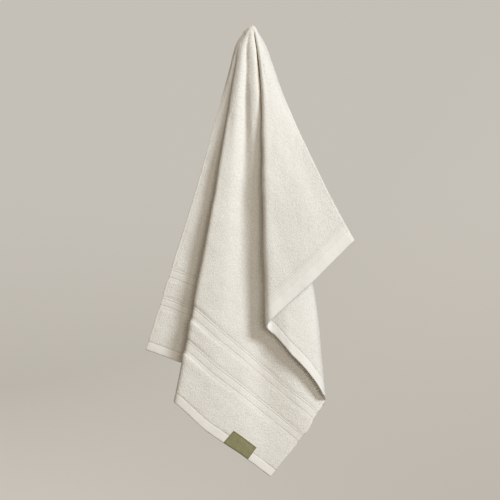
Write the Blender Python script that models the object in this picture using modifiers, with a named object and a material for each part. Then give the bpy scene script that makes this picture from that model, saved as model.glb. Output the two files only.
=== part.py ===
"""Terry hand towel, 50 x 100 cm, hanging from one point of a long side.

The cloth is one sheet. It is laid out flat in polar form around the point
that it hangs from: phi runs from the long side towards end B (0) round to the
long side towards end A (180), and r is the distance from the hanging point.
FOLDS says where each fold or ridge hangs at a few distances r, and every
point of the flat cloth is carried to its hung place between those folds.
Metres, +Z up, -Y is the front. The origin is the hanging point.
"""

import math

import bmesh
import bpy
import numpy as np
from mathutils import Vector

MM = 0.001

# ---- driving sizes -------------------------------------------------------
LENGTH = 1.000          # finished length, end B to end A
WIDTH = 0.500           # finished width, long side to long side
HANG_AT = 0.430         # hanging point, along the long side from end B
CLOTH = 0.0022          # thickness of the sheet
TIP_NOTCH = 0.0012      # radius at which the sheet starts, at the hanging point
LABEL_LONG = 0.047      # woven label, along the hem of end A
LABEL_SHORT = 0.0245    # woven label, across the hem
LABEL_FROM = 0.4055     # where the label starts, across the width from the hanging side
LABEL_THICK = 0.0008
LABEL_GAP = 0.0003      # the label stands off the cloth by this

# ---- how it hangs --------------------------------------------------------
# Distances r (mm) at which the table places each fold
STATIONS = (16, 45, 80, 130, 300, 500, 760)
# Share of a fold's turn radius at each station
TURN_GROWTH = (0.06, 0.28, 0.42, 0.52, 0.75, 1.00, 1.20)
# Columns: fold, phi (degrees), pull (hung distance over flat distance),
# turn radius (mm, 0 for a soft ridge or valley), then (x, y) in mm at each station
FOLDS = (
    ("side edge B",    0.0, 0.955, 0,   ((9.7, 5),     (23.2, 5),     (34.3, 0),      (49.5, -8),    (113, -45),    (202, -50),    (302, -66))),
    ("flap side",      8.0, 0.990, 0,   ((9.2, 1),     (21.5, -1),    (31, -9),       (44, -19),     (93, -49.5),   (157, -55),    (236, -72))),
    ("flap crown",    17.0, 1.018, 0,   ((8, -3.4),    (18, -8),      (24.5, -16.5),  (34, -26.5),   (66, -54),     (106, -59),    (158, -77))),
    ("flap shoulder", 25.5, 1.030, 0,   ((6.4, -6),    (13, -12.5),   (17.5, -20),    (23.5, -30.5), (36, -56.5),   (53, -61.5),   (78, -80))),
    ("flap fold",     30.5, 1.034, 9,   ((4.8, -7),    (9.8, -12.9),  (13.8, -19.8),  (16.8, -28.5),   (18.6, -52.5), (24.5, -57),   (36, -76))),
    ("behind fold",   34.0, 1.028, 0,   ((4.6, -6.7),  (9.8, -10.4),  (15, -16.2),    (19.8, -23.6), (29, -43.5),   (37, -45.5),   (60, -64))),
    ("second face",   39.5, 1.021, 0,   ((4.4, -6.2),  (11, -6),      (18.5, -11),    (26, -18),     (42, -34),     (60, -45.5),   (92, -61))),
    ("outer right",   46.5, 1.028, 0,   ((4.1, -5.6),  (12, 0),       (22, -2),       (34, -5),      (74, -13),     (107.5, -27),  (129, -48))),
    ("rear shoulder", 50.5, 1.003, 0,   ((3.7, -5.2),  (12, 6),       (20, 9),        (29, 11),      (62, 12),      (100, 14),     (119, 14))),
    ("rear face",     60.0, 1.008, 0,   ((3.2, -5),    (11, 14),      (9, 18),        (8, 19),       (14, 26),      (20, 33),      (24, 42))),
    ("rear left",     69.0, 1.010, 6,   ((2.7, -4.9),  (8.5, 18),     (-3, 15.5),     (-16, 14),     (-38, 19),     (-64, 27),     (-92, 36))),
    ("inner rear",    87.5, 1.005, 5.5, ((2.2, -4.9),  (5, 14.5),     (13, 9),        (21, 6.5),     (50, 8),       (84, 9),       (124, 12))),
    ("inner left",   107.3, 1.008, 6,   ((1.6, -5.3),  (3.5, 6),      (-3, 4),        (-16, 2),      (-48, 3.5),    (-72, 7),      (-100, 10))),
    ("inner right",  128.3, 1.020, 6,   ((1.4, -6.4),  (5.5, -5.5),   (10, -11),      (15.5, -16),   (54, -11),     (97, -11),     (148, -13))),
    ("under flap",   133.0, 1.022, 0,   ((-0.6, -8.4), (4, -13.2),    (5, -17.5),     (8.5, -24.5),  (30, -23),     (55, -29),     (112, -31))),
    ("middle ridge", 138.7, 1.016, 0,   ((-3.2, -8.0), (-5, -12.6),   (-5, -15),      (-2.5, -23),   (5, -27),      (8, -23),      (31, -38))),
    ("side valley",  142.5, 1.018, 0,   ((-5.6, -6.4), (-9.8, -8),    (-10, -11),     (-11, -14.5),  (-14, -22.5),  (-22, -33.5),    (-20, -44))),
    ("main crown",   147.0, 1.022, 0,   ((-7.6, -6.2), (-14.5, -11),  (-19, -16),     (-24, -21.5),  (-38, -34.5),  (-57, -43),    (-92, -50))),
    ("main left",    153.0, 1.026, 5,   ((-9.8, -4),   (-20.5, -8),   (-27.5, -11.5), (-36.5, -16),  (-65, -32.5),  (-103, -40),   (-156, -47))),
    ("left valley",  164.0, 1.024, 5,   ((-11.5, -1),  (-24, -4.5),   (-30, -6.5),    (-37, -9),     (-30, -12),    (-38, -15),    (-46, -18))),
    ("left panel",   173.0, 1.028, 0,   ((-12.8, 2),   (-27, -1),     (-35, -4),      (-45.5, -6),   (-78, -8),     (-117, -11),   (-176, -12))),
    ("side edge A",  180.0, 1.028, 0,   ((-14, 5),     (-29.2, 3.5),  (-38.5, 1),     (-54.7, -2),   (-102.8, -8),  (-161.5, -12), (-237.5, -12))),
)
NAME, PHI, PULL, TURN, SPOTS = range(5)


def ease(at, xs, ys):
    """Monotone cubic through the table's values, straight beyond its ends."""
    xs, ys, at = np.asarray(xs, float), np.asarray(ys, float), np.asarray(at, float)
    h = np.diff(xs)
    d = np.diff(ys) / h
    m = np.concatenate([[d[0]], np.zeros(len(d) - 1), [d[-1]]])
    for i in range(1, len(xs) - 1):
        if d[i - 1] * d[i] > 0:
            w1, w2 = 2 * h[i] + h[i - 1], h[i] + 2 * h[i - 1]
            m[i] = (w1 + w2) / (w1 / d[i - 1] + w2 / d[i])
    i = np.clip(np.searchsorted(xs, at) - 1, 0, len(xs) - 2)
    t = (at - xs[i]) / h[i]
    inside = (
        (2 * t**3 - 3 * t**2 + 1) * ys[i] + (t**3 - 2 * t**2 + t) * h[i] * m[i]
        + (-2 * t**3 + 3 * t**2) * ys[i + 1] + (t**3 - t**2) * h[i] * m[i + 1]
    )
    before = ys[0] + m[0] * (at - xs[0])
    after = ys[-1] + m[-1] * (at - xs[-1])
    return np.where(t < 0, before, np.where(t > 1, after, inside))


def smooth_run(points, per_span):
    """Centripetal Catmull-Rom curve through the points."""
    run = np.vstack([2 * points[0] - points[1], points, 2 * points[-1] - points[-2]])
    gap = np.sqrt(np.maximum(np.linalg.norm(np.diff(run, axis=0), axis=1), 1e-9))
    t = np.linspace(0, 1, per_span, endpoint=False)[:, None]
    out = []
    for i in range(1, len(run) - 2):
        a, b, c = gap[i - 1], gap[i], gap[i + 1]
        p0, p1, p2, p3 = run[i - 1], run[i], run[i + 1], run[i + 2]
        m1 = (p2 - p1) + b * ((p1 - p0) / a - (p2 - p0) / (a + b))
        m2 = (p2 - p1) + b * ((p3 - p2) / c - (p3 - p1) / (b + c))
        out.append((2 * t**3 - 3 * t**2 + 1) * p1 + (t**3 - 2 * t**2 + t) * m1
                   + (-2 * t**3 + 3 * t**2) * p2 + (t**3 - t**2) * m2)
    return np.vstack(out + [run[-2:-1]])


def section(r, per_span=14):
    """The hung cloth's line at distance r (mm): its points and the phi of each."""
    near = max(r, STATIONS[0])
    spots = [np.array([float(ease(near, STATIONS, [p[k] for p in row[SPOTS]])) for k in (0, 1)])
             for row in FOLDS]
    growth = float(ease(near, STATIONS, TURN_GROWTH))
    points, marks = [], []
    for i, row in enumerate(FOLDS):
        here = spots[i]
        turned = False
        if row[TURN] > 0:
            towards = [(p - here) / max(np.linalg.norm(p - here), 1e-9) for p in (spots[i - 1], spots[i + 1])]
            back = towards[0] + towards[1]
            turned = np.linalg.norm(back) > 1.5
        if not turned:
            points.append(here)
            marks.append(True)
            continue
        # a fold that turns right back is a half circle of its own radius
        radius = max(row[TURN] * growth, 0.25)
        nose = -back / np.linalg.norm(back)
        side = np.array([-nose[1], nose[0]])
        if side @ (towards[0] - towards[1]) < 0:
            side = -side
        for angle in (90, 45, 0, -45, -90):
            c, s = math.cos(math.radians(angle)), math.sin(math.radians(angle))
            points.append(here + radius * ((c - 1) * nose + s * side))
            marks.append(angle == 0)
    line = smooth_run(np.array(points), per_span)
    anchors = np.array([k * per_span for k, mark in enumerate(marks) if mark])
    phis = np.array([row[PHI] for row in FOLDS])
    if r < near:
        # the tip: the sheet rounds over into a small half disc around the hanging point
        step = np.linalg.norm(np.diff(line, axis=0), axis=1)
        s = np.concatenate([[0], np.cumsum(step)])
        angle = np.radians(np.interp(s, s[anchors], phis))
        disc = 0.93 * r * np.column_stack([np.cos(angle), -0.9 * np.sin(angle)])
        share = (r / near) ** 2 * (3 - 2 * r / near)
        line = (1 - share) * disc + share * line * r / near
    pull = ease(np.interp(np.arange(len(line)), anchors, phis), phis, [row[PULL] for row in FOLDS])
    down = np.maximum((pull * r) ** 2 - line[:, 0] ** 2 - line[:, 1] ** 2, (0.2 * r) ** 2)
    xyz = np.column_stack([line, -np.sqrt(down)])
    step = np.linalg.norm(np.diff(xyz, axis=0), axis=1)
    s = np.concatenate([[0], np.cumsum(step)])
    return xyz, np.interp(s, s[anchors], phis)


def hung(r, phis):
    """Hung places (metres) of the flat cloth's points at distance r (metres)."""
    xyz, phi = section(r / MM)
    return np.column_stack([np.interp(phis, phi, xyz[:, k]) for k in range(3)]) * MM


def reach(phi):
    """Distance (metres) from the hanging point to the cloth's edge along phi."""
    c, s = math.cos(math.radians(phi)), math.sin(math.radians(phi))
    limits = []
    if s > 1e-9:
        limits.append(WIDTH / s)
    if c > 1e-9:
        limits.append(HANG_AT / c)
    if c < -1e-9:
        limits.append((LENGTH - HANG_AT) / -c)
    return min(limits)


def columns():
    """Angles of the sheet's mesh lines: close together where a fold turns."""
    found = {0.0, 180.0,
             round(math.degrees(math.atan2(WIDTH, HANG_AT)), 3),
             round(180 - math.degrees(math.atan2(WIDTH, LENGTH - HANG_AT)), 3)}
    for row in FOLDS:
        around = (-2.6, -1.3, -0.6, 0.0, 0.6, 1.3, 2.6) if row[TURN] else (0.0,)
        for offset in around:
            angle = row[PHI] + offset
            if all(abs(angle - other) > 0.35 for other in found):
                found.add(angle)
    ordered = sorted(found)
    out = [ordered[0]]
    for low, high in zip(ordered, ordered[1:]):
        parts = max(1, math.ceil((high - low) / 3.4))
        out += [low + (high - low) * (k + 1) / parts for k in range(parts)]
    return np.array(out)


ROWS = 25               # mesh lines across the sheet, from the hanging point out
ROW_SPREAD = 1.35       # more than 1 puts them closer together near the tip


def material(name, colour, roughness):
    mat = bpy.data.materials.new(name)
    mat.use_nodes = True
    shader = mat.node_tree.nodes["Principled BSDF"]
    shader.inputs["Base Color"].default_value = (*colour, 1)
    shader.inputs["Roughness"].default_value = roughness
    shader.inputs["Metallic"].default_value = 0
    return mat


def sheet(name, points, thickness, mat, collection):
    """A grid carried to the given places, point [row][column], and thickened."""
    rows, cols = len(points), len(points[0])
    bpy.ops.mesh.primitive_grid_add(x_subdivisions=cols - 1, y_subdivisions=rows - 1, size=1)
    obj = bpy.context.object
    obj.name = name
    mesh = obj.data
    mesh.name = name
    for k, vertex in enumerate(mesh.vertices):
        vertex.co = Vector(points[k // cols][k % cols])
    for other in list(obj.users_collection):
        other.objects.unlink(obj)
    collection.objects.link(obj)
    obj.data.materials.append(mat)
    solid = obj.modifiers.new("Solidify", "SOLIDIFY")
    solid.thickness = thickness
    solid.offset = 0
    solid.use_even_offset = False
    solid.use_quality_normals = True
    mesh.shade_smooth()
    return obj


def face_out(obj):
    """Turns the mesh over if its thickened body would be inside out."""
    graph = bpy.context.evaluated_depsgraph_get()
    shape = bmesh.new()
    shape.from_object(obj, graph)
    if shape.calc_volume(signed=True) < 0:
        for face in obj.data.polygons:
            face.flip()
        obj.data.update()
    shape.free()


def main():
    for obj in list(bpy.data.objects):
        bpy.data.objects.remove(obj, do_unlink=True)
    collection = bpy.data.collections.new("hand_towel")
    bpy.context.scene.collection.children.link(collection)

    # the towel: mesh lines fan out from the hanging point
    phis = columns()
    limits = np.array([reach(phi) for phi in phis])
    points = []
    for row in range(ROWS):
        share = (row / (ROWS - 1)) ** ROW_SPREAD
        line = []
        for phi, limit in zip(phis, limits):
            r = TIP_NOTCH + (limit - TIP_NOTCH) * share
            line.append(hung(r, np.array([phi]))[0])
        points.append(line)
    terry = material("cream terry", (0.74, 0.70, 0.61), 0.95)
    towel = sheet("towel", points, CLOTH, terry, collection)
    face_out(towel)

    # the label: a strip of tape on the front of end A's hem, near the low corner
    olive = material("olive woven tape", (0.27, 0.26, 0.14), 0.8)
    across, along = 5, 9
    label_points = []
    for j in range(across):
        up = LABEL_SHORT * j / (across - 1)
        line = []
        for i in range(along):
            v = LABEL_FROM + LABEL_LONG * i / (along - 1)
            line.append(on_front(LENGTH - 0.0005 - up, v, CLOTH / 2 + LABEL_GAP + LABEL_THICK / 2))
        label_points.append(line)
    label = sheet("label", label_points, LABEL_THICK, olive, collection)
    face_out(label)


def at_flat(u, v):
    """Hung place of the flat point u from end B and v from the hanging side."""
    r = math.hypot(u - HANG_AT, v)
    phi = math.degrees(math.atan2(v, HANG_AT - u))
    return Vector(hung(r, np.array([phi]))[0])


def on_front(u, v, lift):
    """A place this far in front of the sheet's middle."""
    step = 0.002
    along = at_flat(u + step, v) - at_flat(u - step, v)
    across = at_flat(u, v + step) - at_flat(u, v - step)
    normal = along.cross(across).normalized()
    if normal.y > 0:
        normal = -normal
    return at_flat(u, v) + normal * lift


main()
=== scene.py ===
"""Looks of the hanging terry hand towel.

The cloth is laid out flat, u metres from end B (0) to end A (1.0) and v metres
from the side that it hangs by (0) to the other (0.5), and carried to its hung
place between the folds of FOLDS, as its solid is. Its two faces then get
their hems, borders, stitches and terry. Metres, +Z up, -Y is the front.
"""

import math

import bpy
import numpy as np
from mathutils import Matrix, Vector


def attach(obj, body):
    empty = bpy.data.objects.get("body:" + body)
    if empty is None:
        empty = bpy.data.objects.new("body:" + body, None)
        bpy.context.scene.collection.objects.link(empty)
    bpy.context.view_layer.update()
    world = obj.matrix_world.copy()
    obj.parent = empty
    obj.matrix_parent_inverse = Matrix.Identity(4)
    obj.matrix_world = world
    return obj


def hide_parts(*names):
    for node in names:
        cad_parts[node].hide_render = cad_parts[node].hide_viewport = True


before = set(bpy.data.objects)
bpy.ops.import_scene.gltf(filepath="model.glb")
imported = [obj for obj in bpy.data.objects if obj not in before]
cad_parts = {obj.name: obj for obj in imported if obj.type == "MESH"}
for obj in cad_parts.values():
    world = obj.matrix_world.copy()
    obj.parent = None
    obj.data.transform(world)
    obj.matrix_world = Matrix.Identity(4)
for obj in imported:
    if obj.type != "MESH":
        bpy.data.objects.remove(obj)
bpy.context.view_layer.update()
MM = 0.001

# ---- driving sizes, as the solid has them --------------------------------
LENGTH = 1.000
WIDTH = 0.500
HANG_AT = 0.430
TIP_NOTCH = 0.0012
LABEL_LONG = 0.047
LABEL_SHORT = 0.0245
LABEL_FROM = 0.4055

# Distances r (mm) at which the table places each fold
STATIONS = (16, 45, 80, 130, 300, 500, 760)
# Share of a fold's turn radius at each station
TURN_GROWTH = (0.06, 0.28, 0.42, 0.52, 0.75, 1.00, 1.20)
# Columns: fold, phi (degrees), pull (hung distance over flat distance),
# turn radius (mm, 0 for a soft ridge or valley), then (x, y) in mm at each station
FOLDS = (
    ("side edge B",    0.0, 0.955, 0,   ((9.7, 5),     (23.2, 5),     (34.3, 0),      (49.5, -8),    (113, -45),    (202, -50),    (302, -66))),
    ("flap side",      8.0, 0.990, 0,   ((9.2, 1),     (21.5, -1),    (31, -9),       (44, -19),     (93, -49.5),   (157, -55),    (236, -72))),
    ("flap crown",    17.0, 1.018, 0,   ((8, -3.4),    (18, -8),      (24.5, -16.5),  (34, -26.5),   (66, -54),     (106, -59),    (158, -77))),
    ("flap shoulder", 25.5, 1.030, 0,   ((6.4, -6),    (13, -12.5),   (17.5, -20),    (23.5, -30.5), (36, -56.5),   (53, -61.5),   (78, -80))),
    ("flap fold",     30.5, 1.034, 9,   ((4.8, -7),    (9.8, -12.9),  (13.8, -19.8),  (16.8, -28.5),   (18.6, -52.5), (24.5, -57),   (36, -76))),
    ("behind fold",   34.0, 1.028, 0,   ((4.6, -6.7),  (9.8, -10.4),  (15, -16.2),    (19.8, -23.6), (29, -43.5),   (37, -45.5),   (60, -64))),
    ("second face",   39.5, 1.021, 0,   ((4.4, -6.2),  (11, -6),      (18.5, -11),    (26, -18),     (42, -34),     (60, -45.5),   (92, -61))),
    ("outer right",   46.5, 1.028, 0,   ((4.1, -5.6),  (12, 0),       (22, -2),       (34, -5),      (74, -13),     (107.5, -27),  (129, -48))),
    ("rear shoulder", 50.5, 1.003, 0,   ((3.7, -5.2),  (12, 6),       (20, 9),        (29, 11),      (62, 12),      (100, 14),     (119, 14))),
    ("rear face",     60.0, 1.008, 0,   ((3.2, -5),    (11, 14),      (9, 18),        (8, 19),       (14, 26),      (20, 33),      (24, 42))),
    ("rear left",     69.0, 1.010, 6,   ((2.7, -4.9),  (8.5, 18),     (-3, 15.5),     (-16, 14),     (-38, 19),     (-64, 27),     (-92, 36))),
    ("inner rear",    87.5, 1.005, 5.5, ((2.2, -4.9),  (5, 14.5),     (13, 9),        (21, 6.5),     (50, 8),       (84, 9),       (124, 12))),
    ("inner left",   107.3, 1.008, 6,   ((1.6, -5.3),  (3.5, 6),      (-3, 4),        (-16, 2),      (-48, 3.5),    (-72, 7),      (-100, 10))),
    ("inner right",  128.3, 1.020, 6,   ((1.4, -6.4),  (5.5, -5.5),   (10, -11),      (15.5, -16),   (54, -11),     (97, -11),     (148, -13))),
    ("under flap",   133.0, 1.022, 0,   ((-0.6, -8.4), (4, -13.2),    (5, -17.5),     (8.5, -24.5),  (30, -23),     (55, -29),     (112, -31))),
    ("middle ridge", 138.7, 1.016, 0,   ((-3.2, -8.0), (-5, -12.6),   (-5, -15),      (-2.5, -23),   (5, -27),      (8, -23),      (31, -38))),
    ("side valley",  142.5, 1.018, 0,   ((-5.6, -6.4), (-9.8, -8),    (-10, -11),     (-11, -14.5),  (-14, -22.5),  (-22, -33.5),    (-20, -44))),
    ("main crown",   147.0, 1.022, 0,   ((-7.6, -6.2), (-14.5, -11),  (-19, -16),     (-24, -21.5),  (-38, -34.5),  (-57, -43),    (-92, -50))),
    ("main left",    153.0, 1.026, 5,   ((-9.8, -4),   (-20.5, -8),   (-27.5, -11.5), (-36.5, -16),  (-65, -32.5),  (-103, -40),   (-156, -47))),
    ("left valley",  164.0, 1.024, 5,   ((-11.5, -1),  (-24, -4.5),   (-30, -6.5),    (-37, -9),     (-30, -12),    (-38, -15),    (-46, -18))),
    ("left panel",   173.0, 1.028, 0,   ((-12.8, 2),   (-27, -1),     (-35, -4),      (-45.5, -6),   (-78, -8),     (-117, -11),   (-176, -12))),
    ("side edge A",  180.0, 1.028, 0,   ((-14, 5),     (-29.2, 3.5),  (-38.5, 1),     (-52.4, -2),   (-99.8, -8),   (-161.5, -12), (-237.5, -12))),
)
NAME, PHI, PULL, TURN, SPOTS = range(5)


# ---- from flat cloth to hung cloth ---------------------------------------
def ease(at, xs, ys):
    """Monotone cubic through the table's values, straight beyond its ends."""
    xs, ys, at = np.asarray(xs, float), np.asarray(ys, float), np.asarray(at, float)
    h = np.diff(xs)
    d = np.diff(ys) / h
    m = np.concatenate([[d[0]], np.zeros(len(d) - 1), [d[-1]]])
    for i in range(1, len(xs) - 1):
        if d[i - 1] * d[i] > 0:
            w1, w2 = 2 * h[i] + h[i - 1], h[i] + 2 * h[i - 1]
            m[i] = (w1 + w2) / (w1 / d[i - 1] + w2 / d[i])
    i = np.clip(np.searchsorted(xs, at) - 1, 0, len(xs) - 2)
    t = (at - xs[i]) / h[i]
    inside = (
        (2 * t**3 - 3 * t**2 + 1) * ys[i] + (t**3 - 2 * t**2 + t) * h[i] * m[i]
        + (-2 * t**3 + 3 * t**2) * ys[i + 1] + (t**3 - t**2) * h[i] * m[i + 1]
    )
    before = ys[0] + m[0] * (at - xs[0])
    after = ys[-1] + m[-1] * (at - xs[-1])
    return np.where(t < 0, before, np.where(t > 1, after, inside))


def smooth_run(points, per_span):
    """Centripetal Catmull-Rom curve through the points."""
    run = np.vstack([2 * points[0] - points[1], points, 2 * points[-1] - points[-2]])
    gap = np.sqrt(np.maximum(np.linalg.norm(np.diff(run, axis=0), axis=1), 1e-9))
    t = np.linspace(0, 1, per_span, endpoint=False)[:, None]
    out = []
    for i in range(1, len(run) - 2):
        a, b, c = gap[i - 1], gap[i], gap[i + 1]
        p0, p1, p2, p3 = run[i - 1], run[i], run[i + 1], run[i + 2]
        m1 = (p2 - p1) + b * ((p1 - p0) / a - (p2 - p0) / (a + b))
        m2 = (p2 - p1) + b * ((p3 - p2) / c - (p3 - p1) / (b + c))
        out.append((2 * t**3 - 3 * t**2 + 1) * p1 + (t**3 - 2 * t**2 + t) * m1
                   + (-2 * t**3 + 3 * t**2) * p2 + (t**3 - t**2) * m2)
    return np.vstack(out + [run[-2:-1]])


def section(r, per_span=22):
    """The hung cloth's line at distance r (mm): its points and the phi of each."""
    near = max(r, STATIONS[0])
    spots = [np.array([float(ease(near, STATIONS, [p[k] for p in row[SPOTS]])) for k in (0, 1)])
             for row in FOLDS]
    growth = float(ease(near, STATIONS, TURN_GROWTH))
    points, marks = [], []
    for i, row in enumerate(FOLDS):
        here = spots[i]
        turned = False
        if row[TURN] > 0:
            towards = [(p - here) / max(np.linalg.norm(p - here), 1e-9) for p in (spots[i - 1], spots[i + 1])]
            back = towards[0] + towards[1]
            turned = np.linalg.norm(back) > 1.5
        if not turned:
            points.append(here)
            marks.append(True)
            continue
        radius = max(row[TURN] * growth, 0.25)
        nose = -back / np.linalg.norm(back)
        side = np.array([-nose[1], nose[0]])
        if side @ (towards[0] - towards[1]) < 0:
            side = -side
        for angle in (90, 45, 0, -45, -90):
            c, s = math.cos(math.radians(angle)), math.sin(math.radians(angle))
            points.append(here + radius * ((c - 1) * nose + s * side))
            marks.append(angle == 0)
    line = smooth_run(np.array(points), per_span)
    anchors = np.array([k * per_span for k, mark in enumerate(marks) if mark])
    phis = np.array([row[PHI] for row in FOLDS])
    if r < near:
        step = np.linalg.norm(np.diff(line, axis=0), axis=1)
        s = np.concatenate([[0], np.cumsum(step)])
        angle = np.radians(np.interp(s, s[anchors], phis))
        disc = 0.93 * r * np.column_stack([np.cos(angle), -0.9 * np.sin(angle)])
        share = (r / near) ** 2 * (3 - 2 * r / near)
        line = (1 - share) * disc + share * line * r / near
    pull = ease(np.interp(np.arange(len(line)), anchors, phis), phis, [row[PULL] for row in FOLDS])
    down = np.maximum((pull * r) ** 2 - line[:, 0] ** 2 - line[:, 1] ** 2, (0.2 * r) ** 2)
    xyz = np.column_stack([line, -np.sqrt(down)])
    step = np.linalg.norm(np.diff(xyz, axis=0), axis=1)
    s = np.concatenate([[0], np.cumsum(step)])
    return xyz, np.interp(s, s[anchors], phis)


LATTICE_R = np.concatenate([np.linspace(0, 16, 17), np.linspace(18, 60, 22), np.linspace(63, 771, 237)])
LATTICE_PHI = np.linspace(0, 180, 1801)


def lattice():
    """Hung places (mm) at each LATTICE_R and LATTICE_PHI."""
    out = np.zeros((len(LATTICE_R), len(LATTICE_PHI), 3))
    for i, r in enumerate(LATTICE_R):
        if r == 0:
            continue
        xyz, phi = section(r)
        for k in range(3):
            out[i, :, k] = np.interp(LATTICE_PHI, phi, xyz[:, k])
    return out


HUNG = lattice()


def polar(u, v):
    """Distance r (mm) from the hanging point and phi (degrees) of flat points."""
    x, y = (HANG_AT - u) / MM, v / MM
    return np.hypot(x, y), np.degrees(np.arctan2(y, x))


def hang(u, v):
    """Hung places (mm) of flat points, arrays of metres."""
    r, phi = polar(np.asarray(u, float), np.asarray(v, float))
    i = np.clip(np.searchsorted(LATTICE_R, r) - 1, 0, len(LATTICE_R) - 2)
    a = ((r - LATTICE_R[i]) / (LATTICE_R[i + 1] - LATTICE_R[i]))[..., None]
    at = np.clip(phi / 180 * (len(LATTICE_PHI) - 1), 0, len(LATTICE_PHI) - 1.001)
    j = at.astype(int)
    b = (at - j)[..., None]
    return ((1 - a) * ((1 - b) * HUNG[i, j] + b * HUNG[i, j + 1])
            + a * ((1 - b) * HUNG[i + 1, j] + b * HUNG[i + 1, j + 1]))


# ---- the cloth's own detail, in the flat ---------------------------------
def rise(x, low, high):
    """0 below low, 1 above high, smooth between."""
    t = np.clip((x - low) / (high - low), 0, 1)
    return t * t * (3 - 2 * t)


def bell(x, at, width):
    return np.exp(-(((x - at) / width) ** 2))


class Noise:
    """Soft seeded noise on the flat cloth: sums of waves in many directions."""

    def __init__(self, seed, size, stretch=1.0, waves=26):
        rng = np.random.default_rng(seed)
        angle = rng.uniform(0, math.pi, waves)
        k = 2 * math.pi / size * rng.uniform(0.6, 1.5, waves)
        self.ku, self.kv = k * np.cos(angle), k * np.sin(angle) * stretch
        self.phase = rng.uniform(0, 2 * math.pi, waves)
        self.scale = math.sqrt(2 / waves)

    def __call__(self, x, y):
        out = np.zeros(np.shape(x))
        for ku, kv, phase in zip(self.ku, self.kv, self.phase):
            out += np.cos(ku * x + kv * y + phase)
        return out * self.scale


# Half thickness (mm) of the cloth on each side of its middle
TERRY, FLAT, HEM, SIDE_HEM = 1.50, 1.42, 1.45, 1.46
# Bands: first and last distance (mm) from the end, half thickness (mm), width (mm) of the step to it
HEM_A = 15.0
BORDERS = ((72.3, 96.8), (121.2, 146.0))
FACE_A = ((0, HEM_A, HEM, 0.8),) + tuple((low, high, FLAT, 1.6) for low, high in BORDERS)
BACK_A = FACE_A
FACE_B = ((0, 27.5, HEM, 2.0), (27.5, 36.5, 1.44, 3.0))
BACK_B = ((0, 18.0, HEM, 0.8),)
# Lines: distance (mm) from the end, width (mm), height (mm), negative for a groove
LINES_A = (79.3, 90.7, 94.3, 128.0, 139.8, 143.4)
STITCHED = ((18.0, 0.60, -0.34),)
RIBS_B = ((28.4, 0.5, -0.13), (30.8, 0.5, -0.13), (33.2, 0.5, -0.13), (35.6, 0.5, -0.13))


def lines_a():
    return ((HEM_A, 0.60, -0.30),) + tuple((at, 0.42, -0.20) for at in LINES_A)


def thickness(u, v, face):
    """Half thickness (mm) on the cloth's face or back at flat points (m)."""
    a, b = (LENGTH - u) / MM, u / MM
    out = np.full(np.shape(u), TERRY)
    for end, bands in ((a, FACE_A if face else BACK_A), (b, FACE_B if face else BACK_B)):
        for low, high, level, step in bands:
            into = rise(end, low - step / 2, low + step / 2) if low > 0 else 1.0
            share = into * (1 - rise(end, high - step / 2, high + step / 2))
            out = out + (level - out) * share
    for end, lines in ((a, lines_a()), (b, RIBS_B if face else STITCHED)):
        for at, width, height in lines:
            out = out + height * bell(end, at, width)
    edge = np.minimum(v, WIDTH - v) / MM
    side = 1 - rise(edge, 6.2, 7.8)
    ends = np.minimum(a, b)
    out = out + (SIDE_HEM - out) * side * rise(ends, 17, 20)
    out = out - 0.10 * bell(edge, 7.0, 0.6) * rise(ends, 17, 20)
    # the cloth's edge is round
    lip = np.clip(np.minimum(edge, ends) / 1.2, 0, 1)
    out = out * np.sqrt(1 - (1 - lip) ** 2)
    # thinner where it is squeezed together at the tip
    r, _ = polar(u, v)
    return out * (0.42 + 0.58 * rise(r, 4, 34))


# ---- the mesh lines ------------------------------------------------------
def spread(low, high, count, near, fine, reach_, strength):
    """count+1 values from low to high, closer together around near by strength."""
    x = np.linspace(low, high, 4001)
    pitch = 1 + strength * (np.minimum(np.abs(x - near) / reach_, 1) - 1) * (1 - fine)
    total = np.concatenate([[0], np.cumsum(1 / ((pitch[1:] + pitch[:-1]) / 2))])
    total /= total[-1]
    return np.interp(np.linspace(0, 1, count + 1), total, x)


def end_lines(marks, steps, low, high, pitch):
    """Distances (mm) of mesh lines from an end: through each mark, pitch apart between."""
    fixed = {low, high}
    for m in marks:
        fixed.add(m)
    for s in steps:
        fixed.update((s - 0.55, s + 0.55))
    fixed = sorted(f for f in fixed if low <= f <= high)
    kept = [fixed[0]]
    for f in fixed[1:]:
        if f - kept[-1] > 0.28:
            kept.append(f)
    out = [kept[0]]
    for a, b in zip(kept, kept[1:]):
        n = max(1, int(math.ceil((b - a) / pitch)))
        out += [a + (b - a) * k / n for k in range(1, n + 1)]
    return np.array(out)


PITCH = 3.6
marks_a = [0, 0.25, 0.65, 1.2, 13.9, 14.5, 15.0, 15.5, 16.1]
for at in LINES_A:
    marks_a += [at - 0.95, at - 0.4, at, at + 0.4, at + 0.95]
band_a = end_lines(marks_a, (72.3, 96.8, 121.2, 146.0), 0, 156, PITCH)
marks_b = [0, 0.25, 0.65, 1.2, 16.9, 17.5, 18.0, 18.5, 19.1, 27.4]
for at in (28.4, 30.8, 33.2, 35.6):
    marks_b += [at - 0.6, at, at + 0.6]
band_b = end_lines(marks_b, (37.0,), 0, 42, PITCH)
MIDDLE = 226
u_near = spread(0.042, LENGTH - 0.156, MIDDLE, HANG_AT, 0.30, 0.11, 1.0)
u_far = np.linspace(0.042, LENGTH - 0.156, MIDDLE + 1)
U_NEAR = np.concatenate([band_b * MM, u_near[1:-1], (LENGTH - band_a[::-1] * MM)])
U_FAR = np.concatenate([band_b * MM, u_far[1:-1], (LENGTH - band_a[::-1] * MM)])
side_marks = np.array([0, 0.25, 0.65, 1.2, 3.6, 6.2, 7.0, 7.8])
ACROSS = 134
v_near = spread(0.0078, WIDTH - 0.0078, ACROSS, 0.0078, 0.30, 0.11, 1.0)
v_far = np.linspace(0.0078, WIDTH - 0.0078, ACROSS + 1)
V_NEAR = np.concatenate([side_marks[:-1] * MM, v_near, WIDTH - side_marks[:-1][::-1] * MM])
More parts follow.
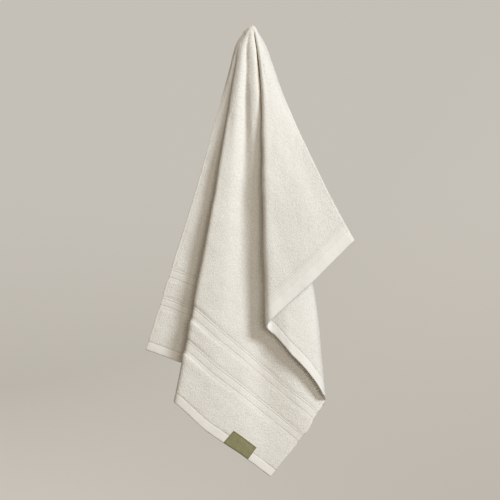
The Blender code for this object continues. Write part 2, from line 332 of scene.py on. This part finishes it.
V_FAR = np.concatenate([side_marks[:-1] * MM, v_far, WIDTH - side_marks[:-1][::-1] * MM])


def flat_grid():
    """u and v (m) of each mesh point: [u line][v line]."""
    nu, nv = len(U_NEAR), len(V_NEAR)
    far_v = rise(V_FAR, 0.03, 0.20)[None, :]
    u = U_NEAR[:, None] * (1 - far_v) + U_FAR[:, None] * far_v
    far_u = rise(np.abs(U_FAR - HANG_AT), 0.03, 0.20)[:, None]
    v = V_NEAR[None, :] * (1 - far_u) + V_FAR[None, :] * far_u
    assert u.shape == v.shape == (nu, nv)
    return u, v


def normals_of(p):
    """Unit normals of a grid of points."""
    du = np.gradient(p, axis=0)
    dv = np.gradient(p, axis=1)
    n = np.cross(du, dv)
    return n / np.maximum(np.linalg.norm(n, axis=2, keepdims=True), 1e-12)


broad = Noise(11, 85)
medium = Noise(12, 32)
small = Noise(13, 13)
grain = np.random.default_rng(14)


def sway(u, v):
    """How far (mm) the cloth's middle leaves its even folds, towards its face."""
    r, phi = polar(u, v)
    x, y = u / MM, v / MM
    room = rise(r, 60, 240)
    out = room * (0.40 * broad(x, y) + 0.09 * medium(x, y) + 0.015 * small(x, y))
    # the close-woven borders draw the main fold's edge in, and the terry below them stands out
    for low, high in BORDERS:
        a = 1000 - x
        band = rise(a, low - 1.5, low + 1.5) * (1 - rise(a, high - 3, high + 3))
        out = out - 1.25 * band * bell(phi, 153.5, 5)
        out = out + 0.7 * bell(a, low - 6, 6) * bell(phi, 153.5, 5)
    return out


def drawn_in(u, v):
    """The flat places that the cloth's points hang at: the borders pull the side hems in a little."""
    a, edge = (LENGTH - u) / MM, np.minimum(v, WIDTH - v) / MM
    pull = np.zeros(np.shape(u))
    for low, high in BORDERS:
        pull = pull + 1.7 * rise(a, low - 2, low + 2) * (1 - rise(a, high - 3, high + 3))
    share = np.clip(1 - edge / 26, 0, 1) ** 2
    return u, v + np.where(v < WIDTH / 2, 1, -1) * pull * share * MM


def towel_grid():
    u, v = flat_grid()
    p = hang(*drawn_in(u, v))
    n = normals_of(p)
    # the face is the side towards the viewer on the main panel
    i = np.argmin(np.abs(U_FAR - 0.75))
    j = np.argmin(np.abs(V_FAR - 0.20))
    sign = -1.0 if n[i, j, 1] > 0 else 1.0
    n *= sign
    p = p + n * sway(u, v)[..., None]
    n = normals_of(p) * sign
    return u, v, p, n


# ---- materials -----------------------------------------------------------
class Tree:
    """Short names for building a material's nodes."""

    def __init__(self, name):
        self.mat = bpy.data.materials.new(name)
        self.mat.use_nodes = True
        self.t = self.mat.node_tree
        self.shader = self.t.nodes["Principled BSDF"]

    def node(self, kind, **sockets):
        n = self.t.nodes.new(kind)
        for key, value in sockets.items():
            if key.startswith("_"):
                setattr(n, key[1:], value)
        for key, value in sockets.items():
            if not key.startswith("_"):
                self.put(n, key, value)
        return n

    def put(self, n, key, value):
        socket = n.inputs[int(key[1:])] if key[0] == "i" and key[1:].isdigit() else n.inputs[key.replace("_", " ")]
        if isinstance(value, bpy.types.NodeSocket):
            self.t.links.new(value, socket)
        else:
            socket.default_value = value

    def math(self, op, a, b=0.0, c=0.0):
        return self.node("ShaderNodeMath", _operation=op, i0=a, i1=b, i2=c).outputs[0]

    def step(self, x, low, high):
        return self.node("ShaderNodeMapRange", _interpolation_type="SMOOTHSTEP", Value=x, From_Min=low, From_Max=high).outputs[0]

    def mix(self, share, a, b):
        n = self.node("ShaderNodeMix", _data_type="RGBA")
        for socket, value in ((n.inputs[0], share), (n.inputs[6], a), (n.inputs[7], b)):
            if isinstance(value, bpy.types.NodeSocket):
                self.t.links.new(value, socket)
            else:
                socket.default_value = value
        return n.outputs[2]


def flat_mm(t):
    """The flat cloth's coordinates in mm: (vector, distance from end B, distance from the hanging side)."""
    uv = t.node("ShaderNodeUVMap", _uv_map="flat").outputs[0]
    mm = t.node("ShaderNodeVectorMath", _operation="SCALE", i0=uv, Scale=1000.0).outputs[0]
    parts = t.node("ShaderNodeSeparateXYZ", i0=mm)
    return mm, parts.outputs[0], parts.outputs[1]


def terry_material():
    t = Tree("terry_cloth")
    mm, x, y = flat_mm(t)
    a = t.math("SUBTRACT", 1000.0, x)
    # where the cloth is smooth: hems, borders and side hems
    side = t.math("MINIMUM", y, t.math("SUBTRACT", 500.0, y))
    smooth = t.math("MULTIPLY", t.math("SUBTRACT", 1.0, t.step(side, 5.8, 7.4)), 0.12)
    smooth = t.math("MAXIMUM", smooth, t.math("SUBTRACT", 1.0, t.step(x, 17.2, 18.6)))
    smooth = t.math("MAXIMUM", smooth, t.math("SUBTRACT", 1.0, t.step(a, HEM_A - 0.8, HEM_A + 0.8)))
    for low, high in BORDERS:
        band = t.math("MULTIPLY", t.step(a, low - 1.5, low + 1.5), t.math("SUBTRACT", 0.25, t.math("MULTIPLY", t.step(a, high - 1.5, high + 1.5), 0.25)))
        smooth = t.math("MAXIMUM", smooth, band)
    on_face = t.node("ShaderNodeAttribute", _attribute_name="on_face").outputs["Fac"]
    flap_band = t.math("MULTIPLY", on_face, t.math("SUBTRACT", 1.0, t.step(x, 24.0, 38.0)))
    smooth = t.math("MAXIMUM", smooth, flap_band)
    pile = t.math("SUBTRACT", 1.0, smooth)

    # loops: close rows of small nubs that run the towel's length, a little out of line
    wander = t.node("ShaderNodeTexNoise", Vector=mm, Scale=0.05, Detail=2.0, Roughness=0.5).outputs["Color"]
    shifted = t.node("ShaderNodeVectorMath", _operation="MULTIPLY_ADD", i0=wander, i1=(2.4, 2.4, 0.0), i2=mm).outputs[0]
    longer = t.node("ShaderNodeVectorMath", _operation="MULTIPLY", i0=shifted, i1=(0.62, 1.0, 1.0)).outputs[0]
    loops = t.node("ShaderNodeTexVoronoi", _feature="SMOOTH_F1", Vector=longer, Scale=0.60, Smoothness=0.25, Randomness=0.92)
    nub = t.math("SUBTRACT", 1.0, loops.outputs["Distance"])
    tufts = t.node("ShaderNodeTexNoise", Vector=longer, Scale=0.34, Detail=3.0, Roughness=0.60).outputs[0]
    fibre = t.node("ShaderNodeTexNoise", Vector=mm, Scale=2.6, Detail=3.0, Roughness=0.6).outputs[0]
    rows = t.node("ShaderNodeTexWave", _wave_type="BANDS", _bands_direction="Y", _wave_profile="SIN", Vector=mm,
                  Scale=0.12, Distortion=2.5, Detail=2.0, Detail_Scale=0.4).outputs["Fac"]
    height = t.math("MULTIPLY", nub, 0.80)
    height = t.math("MULTIPLY_ADD", tufts, 0.50, height)
    crumbs = t.node("ShaderNodeTexNoise", Vector=longer, Scale=0.75, Detail=1.0, Roughness=0.5).outputs[0]
    height = t.math("MULTIPLY_ADD", crumbs, 0.75, height)
    height = t.math("MULTIPLY_ADD", fibre, 0.16, height)
    height = t.math("MULTIPLY_ADD", rows, 0.16, height)

    # plain weave on the hems and borders, with fine ribs along the borders
    weave_u = t.node("ShaderNodeTexWave", _wave_type="BANDS", _bands_direction="X", Vector=mm, Scale=0.42, Distortion=0.6,
                     Detail=1.0, Detail_Scale=1.0).outputs["Fac"]
    weave_v = t.node("ShaderNodeTexWave", _wave_type="BANDS", _bands_direction="Y", Vector=mm, Scale=0.42, Distortion=0.6,
                     Detail=1.0, Detail_Scale=1.0).outputs["Fac"]
    weave = t.math("MULTIPLY", weave_u, weave_v)
    slub = t.node("ShaderNodeTexNoise", Vector=mm, Scale=0.30, Detail=2.0, Roughness=0.5).outputs[0]
    woven = t.math("MULTIPLY_ADD", slub, 0.10, t.math("MULTIPLY", weave, 0.06))
    both = t.math("ADD", t.math("MULTIPLY", height, pile), t.math("MULTIPLY", woven, smooth))
    bump = t.node("ShaderNodeBump", Strength=1.0, Distance=0.00058, Height=both).outputs[0]
    t.put(t.shader, "Normal", bump)

    # colour: cream, a trace uneven, with painted shade between the loops, a little paler on the smooth bands
    cloud = t.node("ShaderNodeTexNoise", Vector=mm, Scale=0.012, Detail=2.0, Roughness=0.5).outputs[0]
    warm = t.mix(t.step(cloud, 0.35, 0.65), (0.872, 0.862, 0.829, 1), (0.884, 0.876, 0.845, 1))
    # painted shade: darker colour in the hollows between the terry loops
    painted_loop_shade = t.math("MULTIPLY", t.math("SUBTRACT", 1.0, t.step(nub, 0.25, 0.80)), pile)
    colour = t.mix(t.math("MULTIPLY", painted_loop_shade, 0.34), warm, (0.63, 0.605, 0.530, 1))
    crumb = t.node("ShaderNodeTexNoise", Vector=longer, Scale=0.50, Detail=2.0, Roughness=0.55).outputs[0]
    fleck = t.math("MULTIPLY", t.step(crumb, 0.47, 0.34), t.math("MULTIPLY", pile, 0.30))
    colour = t.mix(fleck, colour, (0.70, 0.61, 0.475, 1))
    colour = t.mix(t.math("MULTIPLY", smooth, 0.55), colour, (0.866, 0.856, 0.816, 1))
    thread = t.math("MULTIPLY", t.math("SUBTRACT", 1.0, t.step(weave, 0.05, 0.5)), t.math("MULTIPLY", smooth, 0.05))
    colour = t.mix(thread, colour, (0.60, 0.56, 0.46, 1))
    # painted warm light: inside the closed folds the colour is tinted warm, as bounced light would tint it
    inside = t.node("ShaderNodeAttribute", _attribute_name="painted_fold_warmth").outputs["Fac"]
    colour = t.mix(t.math("MULTIPLY", inside, 0.45), colour, (0.88, 0.78, 0.62, 1))
    # the narrow double lines of the borders, darkened partly in their own tone and partly with painted shade of their
    # grooves, a painted highlight line 1.45 mm nearer end A beside each, and the fine ribs of the short end's border
    line_tone_and_shade = painted_highlight_line = None
    for at in LINES_A:
        off = t.math("ABSOLUTE", t.math("SUBTRACT", a, at))
        line = t.math("SUBTRACT", 1.0, t.step(off, 0.20, 0.80))
        line_tone_and_shade = line if line_tone_and_shade is None else t.math("MAXIMUM", line_tone_and_shade, line)
        off = t.math("ABSOLUTE", t.math("SUBTRACT", a, at - 1.45))
        line = t.math("SUBTRACT", 1.0, t.step(off, 0.20, 0.80))
        painted_highlight_line = line if painted_highlight_line is None else t.math("MAXIMUM", painted_highlight_line, line)
    # painted highlight: a pale line beside each border line, where light would catch its groove's edge
    colour = t.mix(t.math("MULTIPLY", painted_highlight_line, 0.45), colour, (0.93, 0.915, 0.86, 1))
    # dark border lines: their own tone together with painted shade of their grooves
    colour = t.mix(t.math("MULTIPLY", line_tone_and_shade, 0.46), colour, (0.38, 0.34, 0.27, 1))
    ribs = t.node("ShaderNodeTexWave", _wave_type="BANDS", _bands_direction="X", Vector=mm, Scale=0.078,
                  Distortion=0.35, Detail=0.0).outputs["Fac"]
    ribbed = t.math("MULTIPLY", t.step(x, 17.0, 22.0), t.math("SUBTRACT", 1.0, t.step(x, 36.0, 43.0)))
    ribbed = t.math("MULTIPLY", t.math("MULTIPLY", ribbed, t.step(ribs, 0.45, 1.0)), t.math("MULTIPLY", on_face, 0.30))
    colour = t.mix(ribbed, colour, (0.55, 0.51, 0.43, 1))
    t.put(t.shader, "Base Color", colour)
    t.put(t.shader, "Roughness", t.math("MULTIPLY_ADD", smooth, -0.08, 0.95))
    t.shader.inputs["Sheen Weight"].default_value = 0.25
    t.shader.inputs["Sheen Roughness"].default_value = 0.5
    t.shader.inputs["Sheen Tint"].default_value = (1.0, 0.97, 0.9, 1)
    t.shader.inputs["Specular IOR Level"].default_value = 0.2
    return t.mat


def tape_material():
    t = Tree("olive_tape")
    mm, x, y = flat_mm(t)
    down = t.math("SUBTRACT", 999.5, x)
    along = t.math("SUBTRACT", y, LABEL_FROM / MM)
    warp = t.node("ShaderNodeTexWave", _wave_type="BANDS", _bands_direction="Y", Vector=mm, Scale=0.62, Distortion=0.5,
                  Detail=1.0, Detail_Scale=1.0).outputs["Fac"]
    weft = t.node("ShaderNodeTexWave", _wave_type="BANDS", _bands_direction="X", Vector=mm, Scale=0.80, Distortion=0.3,
                  Detail=1.0, Detail_Scale=1.0).outputs["Fac"]
    weave = t.math("MULTIPLY", warp, weft)
    cloud = t.node("ShaderNodeTexNoise", Vector=mm, Scale=0.12, Detail=3.0, Roughness=0.6).outputs[0]
    base = t.mix(t.step(cloud, 0.3, 0.7), (0.300, 0.290, 0.150, 1), (0.345, 0.330, 0.180, 1))
    colour = t.mix(t.math("MULTIPLY", t.math("SUBTRACT", 1.0, weave), 0.28), base, (0.17, 0.16, 0.08, 1))
    edge = t.math("MINIMUM", t.math("MINIMUM", down, t.math("SUBTRACT", 24.5, down)),
                  t.math("MINIMUM", along, t.math("SUBTRACT", 47.0, along)))
    rim = t.math("SUBTRACT", 1.0, t.step(edge, 0.4, 1.7))
    colour = t.mix(t.math("MULTIPLY", rim, 0.45), colour, (0.13, 0.12, 0.065, 1))
    t.put(t.shader, "Base Color", colour)
    bump = t.node("ShaderNodeBump", Strength=0.8, Distance=0.00018, Height=weave).outputs[0]
    t.put(t.shader, "Normal", bump)
    t.put(t.shader, "Roughness", t.math("MULTIPLY_ADD", cloud, 0.15, 0.62))
    t.shader.inputs["Sheen Weight"].default_value = 0.12
    t.shader.inputs["Specular IOR Level"].default_value = 0.3
    return t.mat


def thread_material(name, colour, dark):
    t = Tree(name)
    mm, _, _ = flat_mm(t)
    twist = t.node("ShaderNodeTexWave", _wave_type="BANDS", _bands_direction="DIAGONAL", Vector=mm, Scale=1.1, Distortion=0.4,
                   Detail=1.0).outputs["Fac"]
    t.put(t.shader, "Base Color", t.mix(t.math("MULTIPLY", twist, 0.4), colour, dark))
    t.put(t.shader, "Roughness", t.math("MULTIPLY_ADD", twist, 0.1, 0.7))
    t.shader.inputs["Sheen Weight"].default_value = 0.2
    return t.mat


def stage_material():
    """Plain pale wall and floor, a trace uneven."""
    t = Tree("pale_wall")
    place = t.node("ShaderNodeTexCoord").outputs["Object"]
    cloud = t.node("ShaderNodeTexNoise", Vector=place, Scale=0.5, Detail=2.0, Roughness=0.5).outputs[0]
    t.put(t.shader, "Base Color", t.mix(cloud, (0.290, 0.277, 0.257, 1), (0.300, 0.287, 0.267, 1)))
    t.put(t.shader, "Roughness", t.math("MULTIPLY_ADD", cloud, 0.05, 0.9))
    t.shader.inputs["Specular IOR Level"].default_value = 0.1
    # the bend towards the floor takes more light, so it glows less and the wall looks even
    high = t.node("ShaderNodeSeparateXYZ", i0=place).outputs[2]
    t.put(t.shader, "Emission Color", t.mix(t.step(high, -1.75, 0.1), (0.80, 0.768, 0.705, 1), (1.012, 0.972, 0.895, 1)))
    t.shader.inputs["Emission Strength"].default_value = 0.425
    return t.mat


# ---- building ------------------------------------------------------------
def mesh_object(name, verts, faces, uv, mat, face_share=None):
    """A mesh from arrays of points (m) and corner lists; uv is per point, in flat metres."""
    mesh = bpy.data.meshes.new(name)
    mesh.from_pydata([tuple(v) for v in verts], [], [tuple(int(i) for i in f) for f in faces])
    layer = mesh.uv_layers.new(name="flat")
    corners = np.zeros(len(mesh.loops), np.int32)
    mesh.loops.foreach_get("vertex_index", corners)
    layer.data.foreach_set("uv", np.asarray(uv, np.float32)[corners].ravel())
    if face_share is not None:
        held = mesh.attributes.new("on_face", "FLOAT", "FACE")
        held.data.foreach_set("value", np.asarray(face_share, np.float32))
    r, phi = polar(np.asarray(uv)[:, 0], np.asarray(uv)[:, 1])
    # painted warm light: how strongly each point inside the closed folds near the tip is tinted warm
    inner = (rise(phi, 31, 34) * (1 - rise(phi, 44, 48)) + rise(phi, 124, 127) * (1 - rise(phi, 131, 134))) * (1 - rise(r, 150, 330))
    held = mesh.attributes.new("painted_fold_warmth", "FLOAT", "POINT")
    held.data.foreach_set("value", np.asarray(inner, np.float32))
    mesh.materials.append(mat)
    mesh.shade_smooth()
    mesh.update()
    obj = bpy.data.objects.new(name, mesh)
    bpy.context.scene.collection.objects.link(obj)
    return obj


def closed_sheet(name, u, v, front, back, mat):
    """Joins two grids of points (mm) that share their outer line."""
    nu, nv = u.shape
    index = np.arange(nu * nv).reshape(nu, nv)
    inner = np.zeros((nu, nv), bool)
    inner[1:-1, 1:-1] = True
    back_index = index.copy()
    back_index[inner] = nu * nv + np.arange(inner.sum())
    verts = np.vstack([front.reshape(-1, 3), back[inner]]) * MM
    uv = np.vstack([np.column_stack([u.ravel(), v.ravel()]), np.column_stack([u[inner], v[inner]])])

    def quads(ix, turn):
        q = np.stack([ix[:-1, :-1], ix[1:, :-1], ix[1:, 1:], ix[:-1, 1:]], axis=-1).reshape(-1, 4)
        return q[:, ::-1] if turn else q

    # faces on the front wind so that their normals leave the cloth
    a, b, c = front[2, 2], front[3, 2], front[2, 3]
    outward = front[2, 2] - back[2, 2]
    turn = np.dot(np.cross(b - a, c - a), outward) < 0
    fq, bq = quads(index, turn), quads(back_index, not turn)
    share = np.concatenate([np.ones(len(fq)), np.zeros(len(bq))])
    return mesh_object(name, verts, np.vstack([fq, bq]), uv, mat, share)


u, v, middle, normal = towel_grid()
rough = grain.normal(0, 1, u.shape) * 0.10
pile_share = rise(thickness(u, v, True), 1.25, 1.48)
front = middle + normal * (thickness(u, v, True) + rough * pile_share)[..., None]
back = middle - normal * (thickness(u, v, False) + grain.normal(0, 1, u.shape) * 0.10 * pile_share)[..., None]
for grid in (front, back):
    grid[0], grid[-1], grid[:, 0], grid[:, -1] = middle[0], middle[-1], middle[:, 0], middle[:, -1]
terry = terry_material()
towel = closed_sheet("terry_towel", u, v, front, back, terry)


# ---- the label, sewn on end A's hem --------------------------------------
def surface(uu, vv, lift):
    """Places (mm) this far from the cloth's middle on its face."""
    h = 0.0008
    pu = hang(uu + h, vv) - hang(uu - h, vv)
    pv = hang(uu, vv + h) - hang(uu, vv - h)
    n = np.cross(pu, pv)
    n /= np.linalg.norm(n, axis=-1, keepdims=True)
    n = np.where(n[..., 1:2] > 0, -n, n)
    return hang(uu, vv) + n * (sway(uu, vv) + lift)[..., None]


def label_piece():
    down = np.concatenate([[0, 0.15, 0.45], np.linspace(0.9, 23.6, 26), [24.05, 24.35, 24.5]])
    along = np.concatenate([[0, 0.15, 0.45], np.linspace(0.9, 46.1, 48), [46.55, 46.85, 47.0]])
    dd, aa = np.meshgrid(down, along, indexing="ij")
    uu = LENGTH - 0.0005 - dd * MM
    vv = LABEL_FROM + aa * MM
    edge = np.minimum(np.minimum(dd, 24.5 - dd), np.minimum(aa, 47.0 - aa))
    lip = np.sqrt(1 - (1 - np.clip(edge / 0.45, 0, 1)) ** 2)
    # turned-in ends are a little thicker, and the stitches pull it down
    half = 0.40 + 0.10 * (1 - rise(edge, 3.2, 4.0))
    pull = 0.16 * bell(edge, 1.5, 0.5)
    soft = Noise(31, 16)(aa, dd) * 0.06 * rise(edge, 1, 4)
    centre = 1.22 + 0.42 + soft
    top = surface(uu, vv, centre + half * lip - pull)
    under = surface(uu, vv, centre - 0.36 * lip)
    rim = surface(uu, vv, centre)
    for grid in (top, under):
        grid[0], grid[-1], grid[:, 0], grid[:, -1] = rim[0], rim[-1], rim[:, 0], rim[:, -1]
    return closed_sheet("woven_label", uu, vv, top, under, tape_material())


label = label_piece()


# ---- stitches ------------------------------------------------------------
def capsule(around=6):
    """Points and faces of a unit stitch along x from -1 to 1, radius 1."""
    rings = ((-1.0, 0.15), (-0.86, 0.72), (-0.45, 1.0), (0.0, 1.08), (0.45, 1.0), (0.86, 0.72), (1.0, 0.15))
    pts, faces = [], []
    for x, r in rings:
        for k in range(around):
            a = 2 * math.pi * k / around
            pts.append((x, r * math.cos(a), r * math.sin(a)))
    for i in range(len(rings) - 1):
        for k in range(around):
            a, b = i * around + k, i * around + (k + 1) % around
            faces.append((a, b, b + around, a + around))
    faces.append(tuple(range(around))[::-1])
    faces.append(tuple(range((len(rings) - 1) * around, len(rings) * around)))
    return np.array(pts), faces


def seam(name, runs, mat):
    """Stitches along runs of (start uv, end uv, pitch mm, radius mm, face, lift mm), as one mesh."""
    unit, unit_faces = capsule()
    verts, faces, uvs = [], [], []
    rng = np.random.default_rng(41)
    for (u0, v0), (u1, v1), pitch, radius, face, lift in runs:
        length = math.hypot(u1 - u0, v1 - v0) / MM
        count = max(2, int(length / pitch))
        for k in range(count):
            s0, s1 = (k + 0.12) / count, (k + 0.88) / count
            ss = np.array([s0, (s0 + s1) / 2, s1])
            wobble = rng.normal(0, 0.06 * MM, 3)
            du, dv = (u1 - u0), (v1 - v0)
            size = math.hypot(du, dv)
            uu = u0 + du * ss + wobble * dv / size
            vv = v0 + dv * ss - wobble * du / size
            level = np.array([-0.16, 0.14, -0.16]) + lift
            h = 0.0008
            pu = hang(uu + h, vv) - hang(uu - h, vv)
            pv = hang(uu, vv + h) - hang(uu, vv - h)
            n = np.cross(pu, pv)
            n /= np.linalg.norm(n, axis=-1, keepdims=True)
            n *= FACE_SIGN if face else -FACE_SIGN
            base = hang(*drawn_in(uu, vv)) + (n if face else -n) * sway(uu, vv)[:, None]
            half = thickness(uu, vv, face)
            spots = base + n * (half + level)[:, None]
            axis = spots[2] - spots[0]
            reach_ = np.linalg.norm(axis) / 2
            axis /= np.linalg.norm(axis)
            up = n[1] - axis * (n[1] @ axis)
            up /= np.linalg.norm(up)
            side = np.cross(axis, up)
            arch = spots[1] - (spots[0] + spots[2]) / 2
            x = unit[:, :1]
            pts = ((spots[0] + spots[2]) / 2 + x * reach_ * axis + (1 - x**2) * arch
                   + unit[:, 1:2] * radius * side + unit[:, 2:3] * radius * up)
            at = len(verts) * len(unit)
            verts.append(pts)
            uvs.append(np.column_stack([uu[1] + x[:, 0] * (uu[2] - uu[0]) / 2, vv[1] + x[:, 0] * (vv[2] - vv[0]) / 2]))
            faces += [tuple(i + at for i in f) for f in unit_faces]
    return mesh_object(name, np.vstack(verts) * MM, faces, np.vstack(uvs), mat)


probe = hang(np.array([0.7508, 0.7492, 0.75, 0.75]), np.array([0.2, 0.2, 0.2008, 0.1992]))
FACE_SIGN = -1.0 if np.cross(probe[0] - probe[1], probe[2] - probe[3])[1] > 0 else 1.0
low_u, high_u = 0.0185, LENGTH - 0.0155
hem_runs = [
    ((LENGTH - 0.015, 0.004), (LENGTH - 0.015, 0.4035), 3.1, 0.26, True, 0.12),
    ((LENGTH - 0.015, 0.4545), (LENGTH - 0.015, 0.496), 3.1, 0.26, True, 0.12),
    ((LENGTH - 0.015, 0.004), (LENGTH - 0.015, 0.496), 3.1, 0.26, False, 0.12),
    ((0.018, 0.004), (0.018, 0.496), 3.1, 0.26, False, 0.12),
    ((low_u, 0.007), (0.405, 0.007), 3.1, 0.24, True, 0.08),
    ((0.455, 0.007), (high_u, 0.007), 3.1, 0.24, True, 0.08),
    ((low_u, WIDTH - 0.007), (high_u, WIDTH - 0.007), 3.1, 0.24, True, 0.08),
    ((low_u, 0.007), (0.405, 0.007), 3.1, 0.24, False, 0.08),
    ((0.455, 0.007), (high_u, 0.007), 3.1, 0.24, False, 0.08),
    ((low_u, WIDTH - 0.007), (high_u, WIDTH - 0.007), 3.1, 0.24, False, 0.08),
]
hem_stitches = seam("hem_stitches", hem_runs, thread_material("cream_thread", (0.80, 0.77, 0.68, 1), (0.60, 0.56, 0.46, 1)))
la, lb = LENGTH - 0.0020, LENGTH - 0.0235
va, vb = LABEL_FROM + 0.0015, LABEL_FROM + LABEL_LONG - 0.0015
label_runs = [
    ((la, va), (lb, va), 2.4, 0.20, True, 0.80),
    ((la, vb), (lb, vb), 2.4, 0.20, True, 0.80),
    ((lb, va), (lb, vb), 2.4, 0.20, True, 0.80),
    ((la, va), (la, vb), 2.4, 0.20, True, 0.80),
]
label_stitches = seam("label_stitches", label_runs, thread_material("olive_thread", (0.15, 0.14, 0.07, 1), (0.09, 0.08, 0.045, 1)))

for piece in (towel, label, hem_stitches, label_stitches):
    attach(piece, "root")
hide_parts("towel")
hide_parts("label")


# ---- stage, light and camera ---------------------------------------------
def backdrop():
    """A pale floor that curves up into a far wall all round."""
    floor_z, radius, bend, top = -1.6, 5.0, 1.5, 4.0
    profile = [(0.0, floor_z), (radius - bend, floor_z)]
    for k in range(1, 13):
        a = math.pi / 2 * k / 12
        profile.append((radius - bend + bend * math.sin(a), floor_z + bend * (1 - math.cos(a))))
    profile.append((radius, top))
    around = 96
    verts, faces = [], []
    for r, z in profile:
        for k in range(around):
            a = 2 * math.pi * k / around
            verts.append((max(r, 0.001) * math.cos(a), max(r, 0.001) * math.sin(a), z))
    for i in range(len(profile) - 1):
        for k in range(around):
            a, b = i * around + k, i * around + (k + 1) % around
            faces.append((a, b, b + around, a + around))
    mesh = bpy.data.meshes.new("backdrop")
    mesh.from_pydata(verts, [], faces)
    mesh.materials.append(stage_material())
    mesh.shade_smooth()
    obj = bpy.data.objects.new("backdrop", mesh)
    bpy.context.scene.collection.objects.link(obj)
    # it is seen but throws no light or shade on the towel
    obj.visible_shadow = False
    obj.visible_diffuse = False


def area(name, at, towards, size, power, colour):
    lamp = bpy.data.lights.new(name, "AREA")
    lamp.shape = "DISK"
    lamp.size = size
    lamp.energy = power
    lamp.color = colour
    obj = bpy.data.objects.new(name, lamp)
    obj.location = at
    obj.rotation_mode = "QUATERNION"
    obj.rotation_quaternion = (Vector(towards) - Vector(at)).to_track_quat("-Z", "Y")
    obj.visible_camera = False
    bpy.context.scene.collection.objects.link(obj)


backdrop()
CENTRE = (0.0, -0.02, -0.38)
area("key", (2.18, -2.06, 1.42), CENTRE, 1.15, 89, (0.893, 0.950, 1.0))
area("fill", (0.80, -2.88, -0.15), CENTRE, 1.1, 19.5, (1.0, 0.94, 0.86))
area("rear", (-1.6, 3.4, 1.0), CENTRE, 3.0, 66, (1.0, 0.97, 0.93))
world = bpy.data.worlds.new("soft_room")
world.use_nodes = True
sky = world.node_tree
towards = sky.nodes.new("ShaderNodeTexCoord")
parts = sky.nodes.new("ShaderNodeSeparateXYZ")
sky.links.new(towards.outputs["Generated"], parts.inputs[0])
# brighter where the room is, in front and above, and dim towards the back and the floor
ahead = sky.nodes.new("ShaderNodeMapRange")
ahead.interpolation_type = "SMOOTHSTEP"
for key, value in (("From Min", 0.35), ("From Max", -0.75), ("To Min", 0.30), ("To Max", 1.0)):
    ahead.inputs[key].default_value = value
sky.links.new(parts.outputs[1], ahead.inputs["Value"])
above = sky.nodes.new("ShaderNodeMapRange")
above.interpolation_type = "SMOOTHSTEP"
for key, value in (("From Min", -0.8), ("From Max", 0.5), ("To Min", 0.22), ("To Max", 1.05)):
    above.inputs[key].default_value = value
sky.links.new(parts.outputs[2], above.inputs["Value"])
both_ways = sky.nodes.new("ShaderNodeMath")
both_ways.operation = "MULTIPLY"
sky.links.new(ahead.outputs[0], both_ways.inputs[0])
sky.links.new(above.outputs[0], both_ways.inputs[1])
level = sky.nodes.new("ShaderNodeMath")
level.operation = "MULTIPLY"
sky.links.new(both_ways.outputs[0], level.inputs[0])
level.inputs[1].default_value = 0.44
sky.nodes["Background"].inputs[0].default_value = (1.0, 0.855, 0.67, 1)
sky.links.new(level.outputs[0], sky.nodes["Background"].inputs[1])
bpy.context.scene.world = world
bpy.context.scene.view_settings.view_transform = "Standard"

camera = bpy.data.objects.new("camera", bpy.data.cameras.new("camera"))
camera.data.lens = 83.7
camera.data.sensor_width = 36.0
camera.data.clip_end = 60.0
camera.location = (-0.0043, -2.0, -0.386)
camera.rotation_euler = (math.pi / 2, 0, 0)
bpy.context.scene.collection.objects.link(camera)
bpy.context.scene.camera = camera
